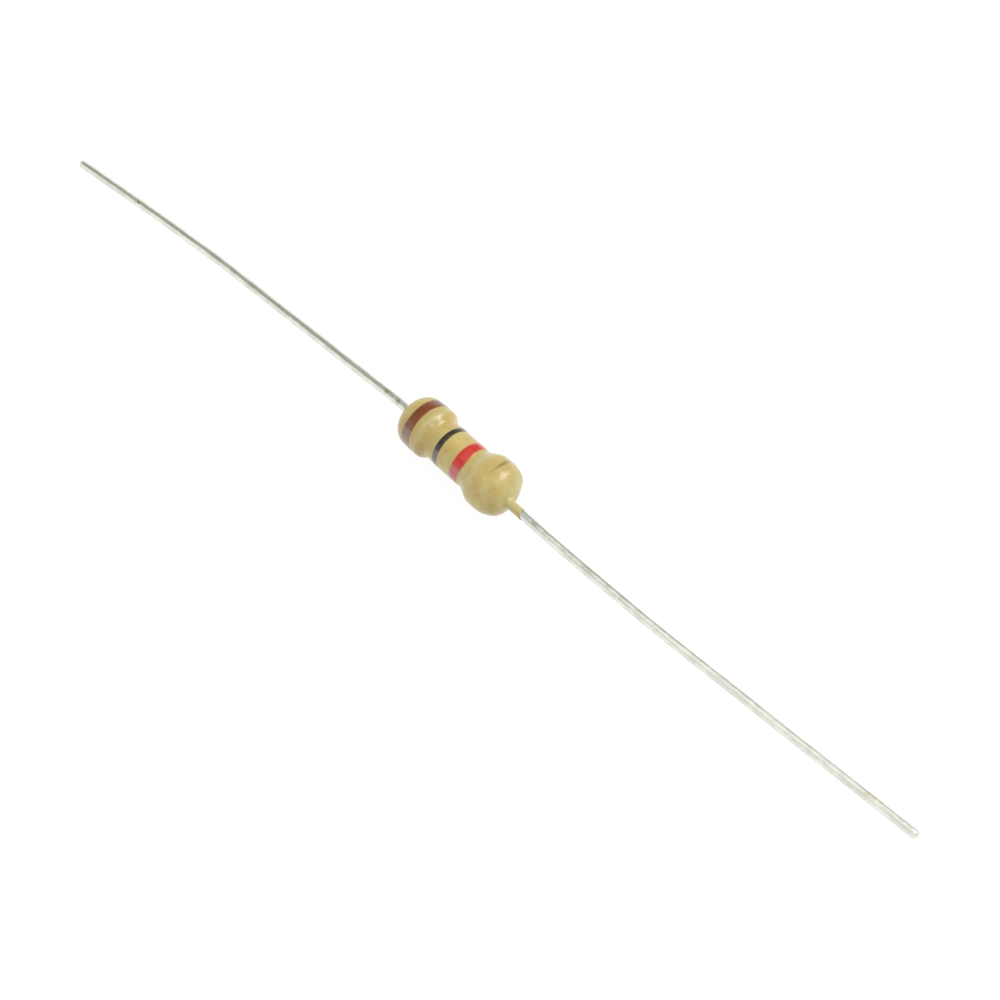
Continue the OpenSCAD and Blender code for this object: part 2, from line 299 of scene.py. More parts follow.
def place_group():
    """Object coordinates in millimetres from the body's axis, the place along it and the angle round it."""
    outputs = {"Place": "NodeSocketVector", "Along": "NodeSocketFloat", "Angle": "NodeSocketFloat"}
    group, _, out = new_group("place", {}, outputs)
    start = add(group, "TexCoord").outputs["Object"]
    scaled = add(group, "Mapping", {"Vector": start, "Location": (0, 0, -AXIS_Z / MM), "Scale": (1 / MM,) * 3})
    place = scaled.outputs["Vector"]
    parts = add(group, "SeparateXYZ", {"Vector": place}).outputs
    angle = math_of(group, "DEGREES", math_of(group, "ARCTAN2", parts["Z"], parts["Y"]))
    fill_inputs(group, out, {"Place": place, "Along": parts["X"], "Angle": angle})
    return group


def blotch_group():
    """A mask of soft blotches: 0 off them and 1 on them."""
    inputs = {"Place": (0.0, 0.0, 0.0), "Scale": 1.0, "Cover": 0.5, "Softness": 0.1}
    group, given, out = new_group("blotches", inputs, {"Mask": "NodeSocketFloat"})
    cloud = add(group, "TexNoise", {"Vector": given["Place"], "Detail": 3.0, "Roughness": 0.6})
    fill_inputs(group, cloud, {"Scale": given["Scale"]})
    edge = math_of(group, "SUBTRACT", 1.0, given["Cover"])
    low = math_of(group, "SUBTRACT", edge, given["Softness"])
    high = math_of(group, "ADD", edge, given["Softness"])
    fill_inputs(group, out, {"Mask": between(group, cloud.outputs["Fac"], low, high)})
    return group


def relief_group():
    """A normal with a fine relief, whose height is in millimetres."""
    inputs = {"Place": (0.0, 0.0, 0.0), "Scale": 5.0, "Height": 0.004}
    group, given, out = new_group("relief", inputs, {"Normal": "NodeSocketVector"})
    grain = add(group, "TexNoise", {"Vector": given["Place"], "Scale": given["Scale"], "Detail": 3.0})
    height = math_of(group, "MULTIPLY", grain.outputs["Fac"], math_of(group, "MULTIPLY", given["Height"], MM))
    bump = add(group, "Bump", {"Height": height, "Distance": 1.0})
    fill_inputs(group, out, {"Normal": bump.outputs["Normal"]})
    return group


def use(tree, group, inputs=None):
    """Places a node group in a tree and returns its outputs."""
    made = add(tree, "Group", node_tree=group)
    fill_inputs(tree, made, inputs or {})
    return made.outputs


PLACE, BLOTCHES, RELIEF = place_group(), blotch_group(), relief_group()
print("groups:", [group.name for group in bpy.data.node_groups])


# %% Helpers that place the groups
def blotches(tree, place, scale, cover, softness):
    """The mask of the blotches group."""
    return use(tree, BLOTCHES, {"Place": place, "Scale": scale, "Cover": cover, "Softness": softness})["Mask"]


def relief(tree, place, scale, height):
    """The normal of the relief group."""
    return use(tree, RELIEF, {"Place": place, "Scale": scale, "Height": height})["Normal"]


def noise_of(tree, place, scale, detail):
    """The value of a plain noise."""
    return add(tree, "TexNoise", {"Vector": place, "Scale": scale, "Detail": detail}).outputs["Fac"]


def near(tree, value, middle, reach):
    """A mask that is 1 where the value is at the middle and 0 past the reach on both sides."""
    gap = math_of(tree, "ABSOLUTE", math_of(tree, "SUBTRACT", value, middle))
    return between(tree, gap, reach, 0.0)


def spot(tree, place, middle, ragged, start, full):
    """A ragged spot: a mask that is 0 further than start from its middle and 1 nearer than full."""
    away = add(tree, "VectorMath", {0: place, 1: middle}, operation="DISTANCE").outputs["Value"]
    return between(tree, math_of(tree, "ADD", away, ragged), start, full)


# %% [markdown]
# ## Lacquer
#
# The body is dipped several times in a tan lacquer, which dries glossy but not smooth. Its colour wanders where
# the coat is thick or thin, and two soft creases run round it where the coat steps down from the caps, each with a
# greenish painted shade along it. Three layers of blotches make the wandering: wide pale ones, small warm ones and
# faint green ones. Spots of colour are listed one by one, each a ragged spot round a point on the surface, so no
# picture is needed. Most warm, darken or lighten the tan in places. Two pale ones on the left shoulder and a
# yellow one on the front of the right bulge are painted highlights.
#
# The gloss has two layers: a fairly rough one that spreads the lamps into soft patches, and a thin clear coat that
# mirrors the white paper along the body's lower side.

# %% Choose the lacquer's colours
DEEP_TAN = (0.58, 0.435, 0.135, 1)
CLOUDS = (  # (scale, cover, softness, strength, colour) of each layer of blotches
    (0.55, 0.50, 0.12, 1.00, (0.67, 0.545, 0.205, 1)),
    (1.70, 0.40, 0.06, 0.35, (0.56, 0.33, 0.14, 1)),
    (1.10, 0.42, 0.08, 0.30, (0.50, 0.49, 0.19, 1)),
)
CREASE_LEFT, CREASE_RIGHT = -1.55, 1.49  # millimetres along the axis
# painted shade: a greenish-grey tint along the two creases, where the lacquer steps down
CREASE_SHADE_COLOUR, CREASE_SHADE_STRENGTH = (0.60, 0.57, 0.30, 1), 0.5
CREASE_SHADE_REACH = 0.2  # distance from the crease at which its painted shade has faded
# The yellow and the pale colours are painted highlights: lighter patches where the lamps and the bright ceiling
# are mirrored.
WARM, YELLOW_HIGHLIGHT, PINK = (0.60, 0.35, 0.11, 1), (0.82, 0.62, 0.19, 1), (0.66, 0.42, 0.27, 1)
GOLDEN, GREENISH, PALE_HIGHLIGHT = (0.78, 0.55, 0.17, 1), (0.57, 0.55, 0.25, 1), (0.76, 0.68, 0.38, 1)
TAN, AMBER = (0.58, 0.44, 0.13, 1), (0.52, 0.35, 0.085, 1)
SPOTS_AND_HIGHLIGHTS = (  # (place along the axis, distance from it, angle round it in degrees, reach, strength, colour)
    (1.42, 1.02, 128, 0.38, 0.9, TAN),
    (1.42, 1.02, 153, 0.38, 0.9, TAN),
    (1.95, 1.21, 134, 0.24, 0.5, WARM),
    (2.15, 1.20, 144, 0.26, 0.5, WARM),
    (2.40, 1.15, 154, 0.28, 0.5, WARM),
    (2.66, 1.00, 166, 0.26, 0.4, WARM),
    # painted highlight: the front lamp mirrored on the front of the right bulge
    (2.24, 1.20, 118, 0.20, 0.5, YELLOW_HIGHLIGHT),
    (-0.08, 0.97, 127, 0.22, 0.5, WARM),
    (-0.12, 0.97, 160, 0.26, 0.5, PINK),
    # painted highlights: the bright ceiling mirrored on the left shoulder
    (-1.33, 1.10, 108, 0.15, 0.5, PALE_HIGHLIGHT),
    (-1.38, 1.12, 84, 0.17, 0.5, PALE_HIGHLIGHT),
    (-1.75, 1.19, 78, 0.16, 0.5, PINK),
    (0.00, 0.97, 92, 0.42, 0.5, GOLDEN),
    (2.75, 0.95, 75, 0.30, 0.4, GOLDEN),
    (2.90, 0.90, 128, 0.50, 0.5, AMBER),
    (2.98, 0.78, 165, 0.40, 0.45, AMBER),
    (3.60, 0.22, 110, 0.45, 0.6, GREENISH),
    (4.05, 0.22, 110, 0.35, 0.6, GREENISH),
)
SPOT_RAGGED = 0.8  # how far the noise moves a spot's edge, as a share of its reach
SPOT_START, SPOT_FULL = 1.4, 0.6  # where a spot starts and where it is full, as shares of its reach
print("stains placed by hand:", len(SPOTS_AND_HIGHLIGHTS))


# %% Make the lacquer finish
LACQUER_COAT = {"Coat Weight": 0.6, "Coat Roughness": 0.18}


def lacquer_colour(tree, place, along):
    """The tan of the lacquer, with its blotches, the painted shade of its creases, and its spots, three of them
    painted highlights.
    """
    colour = DEEP_TAN
    for scale, cover, softness, strength, cloud in CLOUDS:
        mask = blotches(tree, place, scale, cover, softness)
        colour = blend(tree, math_of(tree, "MULTIPLY", mask, strength), colour, cloud)
    # painted shade along the creases
    for crease in (CREASE_LEFT, CREASE_RIGHT):
        mask = math_of(tree, "MULTIPLY", near(tree, along, crease, CREASE_SHADE_REACH), CREASE_SHADE_STRENGTH)
        colour = blend(tree, mask, colour, CREASE_SHADE_COLOUR)
    ragged = noise_of(tree, place, scale=4.5, detail=3.0)
    # spots of colour, three of them painted highlights
    for length, radius, angle, reach, strength, spot_colour in SPOTS_AND_HIGHLIGHTS:
        turn = math.radians(angle)
        middle = (length, radius * math.cos(turn), radius * math.sin(turn))
        moved = math_of(tree, "MULTIPLY", ragged, reach * SPOT_RAGGED)
        mask = spot(tree, place, middle, moved, reach * SPOT_START, reach * SPOT_FULL)
        colour = blend(tree, math_of(tree, "MULTIPLY", mask, strength), colour, spot_colour)
    return colour


def make_lacquer():
    material, tree, shader = new_material("lacquer")
    where = use(tree, PLACE)
    haze = blotches(tree, where["Place"], scale=2.3, cover=0.5, softness=0.2)
    fill_inputs(tree, shader, {
        "Base Color": lacquer_colour(tree, where["Place"], where["Along"]),
        "Roughness": vary(tree, haze, base=0.30, spread=0.12),
        "Specular IOR Level": 0.35,
        **LACQUER_COAT,
        "Normal": relief(tree, where["Place"], scale=3.0, height=0.008),
    })
    return material


LACQUER = make_lacquer()
print("made", LACQUER.name)

# %% [markdown]
# ## Paint
#
# The bands are printed on the lacquer with a wheel, in a paint that is glossier than the lacquer under it. Brown,
# black and red are one finish in three colours. Each has a second colour for its blotches, and the paint is a
# little thinner towards its edges, where the tan shows through. On the front of the body a painted reflection of
# the white paper lies over them: a milky tint whose upper edge is a sharp line.
#
# The gold is a bronze paint that hardly covers: what shows is mostly the lacquer under it, and its gloss is the
# lacquer's too. Only on top of the body is it easy to see, as a short dark ridge at the band's right edge. At the
# back the ridge bends towards the body's middle.

# %% Choose the paints' colours
BROWN, DARK_BROWN = (0.235, 0.057, 0.006, 1), (0.172, 0.038, 0.004, 1)
BLACK, WORN_BLACK = (0.020, 0.013, 0.005, 1), (0.040, 0.025, 0.009, 1)
RED, DARK_RED = (0.68, 0.024, 0.010, 1), (0.58, 0.018, 0.008, 1)
GOLD, DARK_GOLD, RIDGE_GOLD = (0.61, 0.46, 0.17, 1), (0.57, 0.41, 0.14, 1), (0.32, 0.24, 0.07, 1)
GOLD_COVER = 0.3  # share of the gold in what shows of its band
EDGE_TAN, EDGE_SHARE = (0.60, 0.44, 0.18, 1), 0.45
PAINT_COAT = {"Coat Weight": 0.9, "Coat Roughness": 0.06}
# painted reflection: the white paper mirrored low on the bands' front, painted into their colour as a milky tint
PAINTED_REFLECTION_TINT, PAINTED_REFLECTION_SHARE = (0.54, 0.44, 0.43, 1), 0.33
PAINTED_REFLECTION_ANGLE = 190  # degrees round the axis, at the middle of the painted reflection
PAINTED_REFLECTION_LINE = (0.70, 0.75)  # cosines of the angle from there, where the painted reflection starts and where it is full
RIDGE_PLACE, RIDGE_SHIFT = 2.295, 0.17  # along the axis, and how far it bends towards the middle
RIDGE_BEND = (82, 36)  # the angles where the bend starts and ends
RIDGE_TOP, RIDGE_REACH = 70, 44  # angle of the ridge's middle, and its reach on both sides
RIDGE_WIDTH = (0.12, 0.03)  # distances from its line where the ridge starts and where it is full
print("degrees of the milky film:", round(2 * math.degrees(math.acos(PAINTED_REFLECTION_LINE[0]))))


# %% Make the paint finishes
def ridge(tree, where):
    """A mask of the dark ridge at the gold band's right edge, on top of the body."""
    bend = math_of(tree, "MULTIPLY", between(tree, where["Angle"], *RIDGE_BEND), RIDGE_SHIFT)
    gap = math_of(tree, "SUBTRACT", where["Along"], math_of(tree, "SUBTRACT", RIDGE_PLACE, bend))
    line = between(tree, math_of(tree, "ABSOLUTE", gap), *RIDGE_WIDTH)
    on_top = near(tree, where["Angle"], RIDGE_TOP, RIDGE_REACH)
    ragged = blotches(tree, where["Place"], scale=6.0, cover=0.7, softness=0.2)
    return math_of(tree, "MULTIPLY", math_of(tree, "MULTIPLY", line, on_top), ragged)


def painted_reflection(tree, where):
    """A mask of the bands' front side, where the painted reflection of the white paper lies."""
    turn = math_of(tree, "RADIANS", math_of(tree, "SUBTRACT", where["Angle"], PAINTED_REFLECTION_ANGLE))
    return between(tree, math_of(tree, "COSINE", turn), *PAINTED_REFLECTION_LINE)


def make_paint(name, colour, blotch, roughness, ridge_colour=None):
    """A paint of two colours. The one with a ridge is thin, and takes after the lacquer; the others carry a
    painted reflection on their front.
    """
    material, tree, shader = new_material(name)
    where = use(tree, PLACE)
    place = where["Place"]
    painted = blend(tree, blotches(tree, place, scale=3.2, cover=0.45, softness=0.1), colour, blotch)
    if ridge_colour:
        painted = blend(tree, GOLD_COVER, lacquer_colour(tree, place, where["Along"]), painted)
        painted = blend(tree, ridge(tree, where), painted, ridge_colour)
    else:
        # painted reflection of the white paper on the bands' front
        tint = math_of(tree, "MULTIPLY", painted_reflection(tree, where), PAINTED_REFLECTION_SHARE)
        painted = blend(tree, tint, painted, PAINTED_REFLECTION_TINT)
    thin = add(tree, "Attribute", attribute_name="edge").outputs["Fac"]
    haze = blotches(tree, place, scale=5.0, cover=0.5, softness=0.2)
    fill_inputs(tree, shader, {
        "Base Color": blend(tree, math_of(tree, "MULTIPLY", thin, EDGE_SHARE), painted, EDGE_TAN),
        "Roughness": vary(tree, haze, base=roughness, spread=0.08),
        "Specular IOR Level": 0.3,
        **(LACQUER_COAT if ridge_colour else PAINT_COAT),
        "Normal": relief(tree, place, scale=4.0, height=0.004),
    })
    return material


PAINTS = {
    "brown": make_paint("paint_brown", BROWN, DARK_BROWN, roughness=0.24),
    "black": make_paint("paint_black", BLACK, WORN_BLACK, roughness=0.22),
    "red": make_paint("paint_red", RED, DARK_RED, roughness=0.22),
    "gold": make_paint("paint_gold", GOLD, DARK_GOLD, roughness=0.30, ridge_colour=RIDGE_GOLD),
}
print("made", [paint.name for paint in PAINTS.values()])

# %% [markdown]
# ## Tinned wire
#
# The leads are drawn wire with a coat of bright tin. Drawing leaves fine streaks along the wire, the tin lies in
# slight waves, and handling leaves duller and darker patches. A pattern that follows a bent wire can't use Object
# coordinates, so each lead's mesh carries an attribute named grain: the length along the wire, negative on the
# left one, and the place across it, all in millimetres. Noise that is stretched along the first of these makes the
# streaks, the waves and the dark patches. The same attribute tells where the listed marks are: brown flux next
# to the body, faint flux further out, and a dark nick near the left wire's end.

# %% Choose the wire's colours and marks
TIN, DULL_TIN = (0.86, 0.855, 0.79, 1), (0.77, 0.775, 0.705, 1)
DARK_TIN, DARK_SHARE = (0.56, 0.565, 0.50, 1), 0.4
DARK_STRETCH = (1.7, 4, 4)  # of the noise, in repeats to a millimetre along and across the wire
STREAK_STRETCH, STREAK_HEIGHT = (0.35, 22, 22), 0.0006 * MM
WAVE_STRETCH, WAVE_HEIGHT = (1.6, 3, 3), 0.025 * MM
FLUX, FAINT_FLUX, NICK = (0.54, 0.48, 0.36, 1), (0.62, 0.59, 0.46, 1), (0.22, 0.22, 0.17, 1)
SPECKS = (  # (length along the wire, angle round it in degrees, reach, colour), negative lengths on the left wire
    (-0.87, 120, 0.23, FLUX),
    (-1.62, 114, 0.22, FLUX),
    (-18.62, 118, 0.15, NICK),
    (-18.80, 140, 0.15, FAINT_FLUX),
    (19.45, 84, 0.28, FAINT_FLUX),
    (19.75, 66, 0.24, FAINT_FLUX),
    (20.05, 50, 0.24, FAINT_FLUX),
)
SPECK_RAGGED = 0.08  # how far the noise moves a speck's edge
SPECK_FULL = 0.3  # share of a speck's reach over which its colour is full
print("marks placed by hand:", len(SPECKS))


# %% Make the wire finish
def stretch(tree, place, scale):
    """A place that is scaled by another number on each axis."""
    return add(tree, "Mapping", {"Vector": place, "Scale": scale}).outputs["Vector"]


def make_tin():
    material, tree, shader = new_material("tinned_wire")
    grain = add(tree, "Attribute", attribute_name="grain").outputs["Vector"]
    dull = blotches(tree, grain, scale=0.7, cover=0.45, softness=0.2)
    dark = blotches(tree, stretch(tree, grain, DARK_STRETCH), scale=1.0, cover=0.5, softness=0.1)
    colour = blend(tree, dull, TIN, DULL_TIN)
    colour = blend(tree, math_of(tree, "MULTIPLY", dark, DARK_SHARE), colour, DARK_TIN)
    moved = math_of(tree, "MULTIPLY", noise_of(tree, grain, scale=14.0, detail=2.0), SPECK_RAGGED)
    for length, angle, reach, speck in SPECKS:
        turn = math.radians(angle)
        middle = (length, math.copysign(WIRE_R, length) * math.cos(turn), WIRE_R * math.sin(turn))
        colour = blend(tree, spot(tree, grain, middle, moved, reach, reach * SPECK_FULL), colour, speck)
    streaks = noise_of(tree, stretch(tree, grain, STREAK_STRETCH), scale=1.0, detail=3.0)
    waves = noise_of(tree, stretch(tree, grain, WAVE_STRETCH), scale=1.0, detail=2.0)
    height = vary(tree, waves, base=math_of(tree, "MULTIPLY", streaks, STREAK_HEIGHT), spread=WAVE_HEIGHT)
    fill_inputs(tree, shader, {
        "Base Color": colour,
        "Metallic": 1.0,
        "Roughness": vary(tree, dull, base=vary(tree, streaks, base=0.15, spread=0.10), spread=0.08),
        "Normal": add(tree, "Bump", {"Height": height, "Distance": 1.0}).outputs["Normal"],
    })
    return material


TINNED_WIRE = make_tin()
print("made", TINNED_WIRE.name)

# %% [markdown]
# ## Finishes inside
#
# The rod, the film and the caps are sealed in lacquer, and no view of the whole part shows them. They are the
# frame's own solids and keep their shapes. They still get real finishes, so that the part looks right when it is
# taken apart: a fine-grained ceramic, a graphite-like film and tin-plated caps.

# %% Make the inner finishes
def make_inner(name, first, second, scale, roughness, metallic, height):
    """A plain finish of two colours in blotches, with a relief four times as fine."""
    material, tree, shader = new_material(name)
    place = use(tree, PLACE)["Place"]
    cloud = blotches(tree, place, scale, cover=0.5, softness=0.15)
    fill_inputs(tree, shader, {
        "Base Color": blend(tree, cloud, first, second),
        "Roughness": vary(tree, cloud, base=roughness, spread=0.12),
        "Metallic": metallic,
        "Normal": relief(tree, place, scale=scale * 4, height=height),
    })
    return material


CERAMIC = make_inner(
    "rod_ceramic", (0.86, 0.84, 0.79, 1), (0.80, 0.78, 0.72, 1),
    scale=4.0, roughness=0.55, metallic=0.0, height=0.004,
)
CARBON = make_inner(
    "carbon", (0.012, 0.012, 0.014, 1), (0.03, 0.03, 0.034, 1),
    scale=3.0, roughness=0.32, metallic=0.3, height=0.001,
)
CAP_STEEL = make_inner(
    "cap_steel", (0.62, 0.61, 0.57, 1), (0.52, 0.51, 0.47, 1),
    scale=2.0, roughness=0.22, metallic=1.0, height=0.002,
)

INNER = {"ceramic_core": CERAMIC, "carbon_film": CARBON, "end_cap_left": CAP_STEEL, "end_cap_right": CAP_STEEL}
for name, material in INNER.items():
    nodes[name].data.materials.clear()
    nodes[name].data.materials.append(material)
print("dressed", list(INNER))

# %% [markdown]
# ## Outline of the body
#
# The body is a dog-bone: two bulges over the caps and a waist between them. Its outline is one function that
# gives the lacquer's radius at any place along the axis, and every skin below takes its shape from it. The domes
# are superellipses, which look like a drop that has set, and the shoulders are half waves of a cosine. The left
# shoulder is short and steep, the right one long and soft. At both ends the lacquer climbs the wire as a
# meniscus and runs out as a thin sleeve. The numbers are in millimetres.

# %% Describe the outline
BODY_END = 3.225  # pole of either dome
WAIST = 0.965
NECK = 0.945
LEFT_CROWN, LEFT_RIM, RIGHT_CROWN = 1.178, 1.202, 1.228
LEFT_DOME, RIGHT_DOME = 0.85, 1.14  # lengths of the domes
LEFT_FULL, RIGHT_FULL = 2.1, 2.45  # powers of their superellipses: 2 is an ellipse, and more is fuller
LEFT_DOME_X, RIGHT_DOME_X = LEFT_DOME - BODY_END, BODY_END - RIGHT_DOME
FALL_X, LEFT_NECK_X, LEFT_WAIST_X = -1.575, -1.125, -0.625
RIGHT_WAIST_X, RIGHT_NECK_X, RISE_X = 0.475, 0.975, 1.825
CREASE_DEPTH, CREASE_REACH = 0.008, 0.1
SLEEVE_R = WIRE_R + 0.022
MENISCUS_R = 0.5  # where it starts on the dome
LEFT_MENISCUS, RIGHT_MENISCUS = 0.24, 0.4  # lengths
LEFT_SLEEVE, RIGHT_SLEEVE = 0.18, 0.86  # lengths past the poles


def ease(first, last, share):
    """A smooth step from the first value to the last."""
    return first + (last - first) * (1 - math.cos(math.pi * share)) / 2


def dome(crown, share, full):
    """Radius of a dome at a share of its length, which is 1 at its pole."""
    return crown * max(0.0, 1 - min(1.0, share) ** full) ** (1 / full)


def meniscus(x):
    """Radius of the lacquer that has climbed the wire. A third of its length still lies on the dome."""
    length = RIGHT_MENISCUS if x > 0 else LEFT_MENISCUS
    share = (abs(x) - BODY_END + length / 3) / length
    return 0.0 if share < 0 else SLEEVE_R + (MENISCUS_R - SLEEVE_R) * max(0.0, 1 - share) ** 3


def body_radius(x):
    """Radius of the body itself at the place x."""
    if x < LEFT_DOME_X:
        return dome(LEFT_CROWN, (LEFT_DOME_X - x) / LEFT_DOME, LEFT_FULL)
    if x < FALL_X:
        return LEFT_CROWN + (LEFT_RIM - LEFT_CROWN) * (x - LEFT_DOME_X) / (FALL_X - LEFT_DOME_X)
    if x < LEFT_NECK_X:
        return ease(LEFT_RIM, NECK, (x - FALL_X) / (LEFT_NECK_X - FALL_X))
    if x < LEFT_WAIST_X:
        return ease(NECK, WAIST, (x - LEFT_NECK_X) / (LEFT_WAIST_X - LEFT_NECK_X))
    if x < RIGHT_WAIST_X:
        return WAIST
    if x < RIGHT_NECK_X:
        return ease(WAIST, NECK, (x - RIGHT_WAIST_X) / (RIGHT_NECK_X - RIGHT_WAIST_X))
    if x < RISE_X:
        return ease(NECK, RIGHT_CROWN, (x - RIGHT_NECK_X) / (RISE_X - RIGHT_NECK_X))
    return dome(RIGHT_CROWN, max(0.0, x - RIGHT_DOME_X) / RIGHT_DOME, RIGHT_FULL)


def skin_radius(x):
    """Radius of the lacquer at the place x, with its creases and the meniscus at each end."""
    creases = sum(math.exp(-(((x - at) / CREASE_REACH) ** 2)) for at in (CREASE_LEFT, CREASE_RIGHT))
    return max(body_radius(x) - CREASE_DEPTH * creases, meniscus(x))


print("radius at the left rim, waist and right crown:", [round(skin_radius(x), 3) for x in (-2.0, 0.0, 2.0)])

# %% [markdown]
# ## From the outline to a surface
#
# Real lacquer isn't perfectly round. One function turns a place along the axis and an angle round it into a point
# on the surface, with lumps of up to a hundredth of a millimetre from smooth noise. Both bulges stand out a little
# further at the back. The lacquer and the bands both use this function, so the paint follows every lump. The right
# wire was welded a little off the cap's centre, and the rings near that end drift sideways with it.

# %% Describe the surface
LUMP_HEIGHT = 0.009
LUMPS_PER_MM = 0.8
LUMP_R = 1.2  # distance from the axis at which the noise is read, all along the body
LEFT_FULLER, RIGHT_FULLER = 0.02, 0.05  # how much further the bulges stand out at the back
BULGE_FROM = 0.1  # height over the waist from which a place belongs to a bulge
RIGHT_WIRE_OFF = Vector((0, -0.08, -0.04))
DRIFT_FROM, DRIFT_TO = 2.7, 3.15


def drift(x):
    """How far the lacquer's rings have moved aside at the place x, towards the off-centre right wire."""
    share = min(1.0, max(0.0, (x - DRIFT_FROM) / (DRIFT_TO - DRIFT_FROM)))
    return RIGHT_WIRE_OFF * ease(0, 1, share)


def surface_point(x, angle, lift=0.0):
    """A point on the lacquer, or lifted off it, in metres."""
    round_axis = Vector((0, math.cos(angle), math.sin(angle)))
    lump = noise.noise((Vector((x, 0, 0)) + round_axis * LUMP_R) * LUMPS_PER_MM) * LUMP_HEIGHT
    settled = min(1.0, skin_radius(x))
    on_bulge = min(1.0, max(0.0, (skin_radius(x) - WAIST) / BULGE_FROM))
    fuller = (RIGHT_FULLER if x > 0 else LEFT_FULLER) * max(0.0, math.cos(angle)) * on_bulge
    point = Vector((x, 0, 0)) + drift(x) + round_axis * (skin_radius(x) + lump * settled + fuller + lift)
    return point * MM + Vector((0, 0, AXIS_Z))


print("right bulge, front and back:", [round(surface_point(2.0, turn).y / MM, 2) for turn in (math.pi, 0.0)])

# %% Finish a mesh as a piece
MERGE_DISTANCE = 1e-8  # metres


def finish_piece(bm, name, material, body="root"):
    """Turns a bmesh into a smooth-shaded piece that rides on a body of the frame."""
    bmesh.ops.remove_doubles(bm, verts=bm.verts, dist=MERGE_DISTANCE)
    bmesh.ops.recalc_face_normals(bm, faces=bm.faces)
    mesh = bpy.data.meshes.new(name)
    bm.to_mesh(mesh)
    bm.free()
    mesh.shade_smooth()
    mesh.materials.append(material)
    piece = bpy.data.objects.new(name, mesh)
    bpy.context.scene.collection.objects.link(piece)
    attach(piece, body)
    print(f"{name}: {len(mesh.vertices)} points, {len(mesh.polygons)} faces")
    return piece


# %% [markdown]
# ## Lacquer skin
#
# The lacquer is a shell. Its outer outline comes from the functions above, and its inner outline hugs the two caps
# and the film between them. Joined into one loop, they are spun round the axis into a closed shell with a hole
# for each wire. The spin makes a perfectly round shape, and each outer point is then moved to its lumpy place.
# An integer layer named wall tells the outer points from the inner ones, because the spin copies it to every ring.
# The right wire's hole is moved aside with its wire, and the long sleeve on that wire ends at a slant.

# %% Describe the shell's loop
SPIN_STEPS = 128
DOME_STEPS, SLEEVE_STEPS, CORNER_STEPS = 20, 14, 6
BODY_STEP = 0.055
CAP_CORNER = 0.42
WELD_R, WELD_HEIGHT = 0.27, 0.12


def sleeve_places(sleeve):
    """Places from the dome's pole to the end of a sleeve on the right."""
    return [BODY_END + sleeve * i / SLEEVE_STEPS for i in range(SLEEVE_STEPS + 1)]


def outer_places():
    """Places along the axis where the outer outline has a point, closer together where it curves."""
    turns = [math.pi / 2 * i / DOME_STEPS for i in range(DOME_STEPS)]
    left = [LEFT_DOME_X - LEFT_DOME * math.cos(turn) for turn in turns[1:]]
    right = [RIGHT_DOME_X + RIGHT_DOME * math.sin(turn) for turn in turns]
    span = RIGHT_DOME_X - LEFT_DOME_X
    count = round(span / BODY_STEP)
    middle = [LEFT_DOME_X + span * i / count for i in range(count)]
    return [-x for x in reversed(sleeve_places(LEFT_SLEEVE))] + left + middle + right + sleeve_places(RIGHT_SLEEVE)


def inner_outline(sleeve):
    """Points of the wall round the right cap, from the sleeve's end inwards, as (x, radius)."""
    corner = [
        (CAP_END - CAP_CORNER * (1 - math.cos(turn)), CAP_R - CAP_CORNER * (1 - math.sin(turn)))
        for turn in (math.pi / 2 * i / CORNER_STEPS for i in range(CORNER_STEPS + 1))
    ]
    wire = [(BODY_END + sleeve, WIRE_R), (CAP_END + WELD_HEIGHT, WIRE_R), (CAP_END, WELD_R)]
    return wire + corner + [(CAP_RIM, CAP_R), (CAP_RIM, FILM_R)]


def spin_loop(bm, outline, layers):
    """Spins a closed loop of (x, radius) points, whose points carry the given layer values, round the axis."""
    verts = [bm.verts.new((x * MM, radius * MM, AXIS_Z)) for x, radius in outline]
    for layer, values in layers:
        for vert, value in zip(verts, values):
            vert[layer] = value
    edges = [bm.edges.new(pair) for pair in zip(verts, verts[1:] + verts[:1])]
    bmesh.ops.spin(
        bm, geom=verts + edges, cent=(0, 0, AXIS_Z), axis=(1, 0, 0),
        angle=math.tau, steps=SPIN_STEPS, use_merge=True,
    )


print("points of the outer outline:", len(outer_places()))

# %% Build the lacquer
SLANT = math.radians(22)
SLANT_LONGEST = math.radians(230)  # side of the wire on which the sleeve is longest
SLANT_FROM = BODY_END + RIGHT_MENISCUS
HOLE_R = 0.4  # past the cap's end, inner points nearer the axis than this belong to the wire's hole
NUDGE = 0.001  # millimetres, so that points right on the cap's end count as past it


def angle_of(vert):
    """Angle of a point round the body's axis: 0 at the back, a quarter turn at the top."""
    return math.atan2(vert.co.z - AXIS_Z, vert.co.y)


def slant(x, angle):
    """How far the slanted end of the right sleeve moves a point along the wire."""
    share = min(1.0, max(0.0, (x - SLANT_FROM) / (BODY_END + RIGHT_SLEEVE - SLANT_FROM)))
    return SLEEVE_R * math.tan(SLANT) * share * math.cos(angle - SLANT_LONGEST)


def build_lacquer():
    outer = [(x, skin_radius(x)) for x in outer_places()]
    inner = inner_outline(RIGHT_SLEEVE) + [(-x, radius) for x, radius in reversed(inner_outline(LEFT_SLEEVE))]
    bm = bmesh.new()
    wall = bm.verts.layers.int.new("wall")
    spin_loop(bm, outer + inner, [(wall, [0] * len(outer) + [1] * len(inner))])
    for vert in bm.verts:
        x, angle = vert.co.x / MM, angle_of(vert)
        from_axis = (vert.co - Vector((vert.co.x, 0, AXIS_Z))).length
        if vert[wall] == 0:
            vert.co = surface_point(x, angle)
        elif x > CAP_END - NUDGE and from_axis < HOLE_R * MM:
            vert.co += RIGHT_WIRE_OFF * MM
        vert.co.x += slant(x, angle) * MM
    return finish_piece(bm, "lacquer_skin", LACQUER)


lacquer_skin = build_lacquer()
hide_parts("coating")

